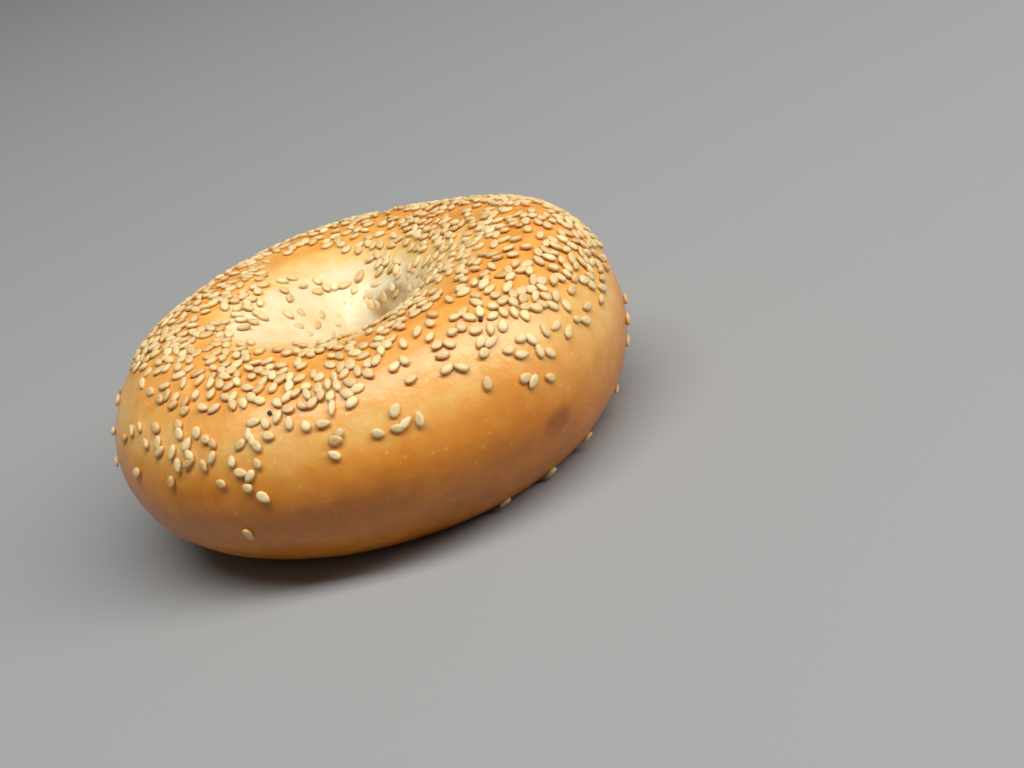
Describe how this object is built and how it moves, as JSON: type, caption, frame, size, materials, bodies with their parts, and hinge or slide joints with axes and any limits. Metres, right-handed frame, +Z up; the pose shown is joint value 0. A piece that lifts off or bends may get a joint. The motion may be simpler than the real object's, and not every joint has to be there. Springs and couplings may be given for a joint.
{
  "type": "bagel",
  "caption": "Sesame bagel: a plump, uneven baked ring with a golden crust, a pale funnel that falls to a small hole, a flat base and sesame seeds baked into its upper side.",
  "frame": {"origin": "on the floor, under the middle of the bagel's bounding box", "axes": "+Z up through the hole, +X towards the narrow, high side, -Y towards the side that the picture shows"},
  "size_m": [0.1199, 0.1198, 0.0483],
  "materials": {
    "crust": "baked and boiled bread crust, golden brown, satin to glossy, pale cream in the hole",
    "sesame": "hulled sesame seed, pale cream, lightly toasted, satin",
    "poppy": "poppy seed, blue-black, matt"
  },
  "bodies": {
    "root": {"bagel": "crust"}
  },
  "joints": []
}
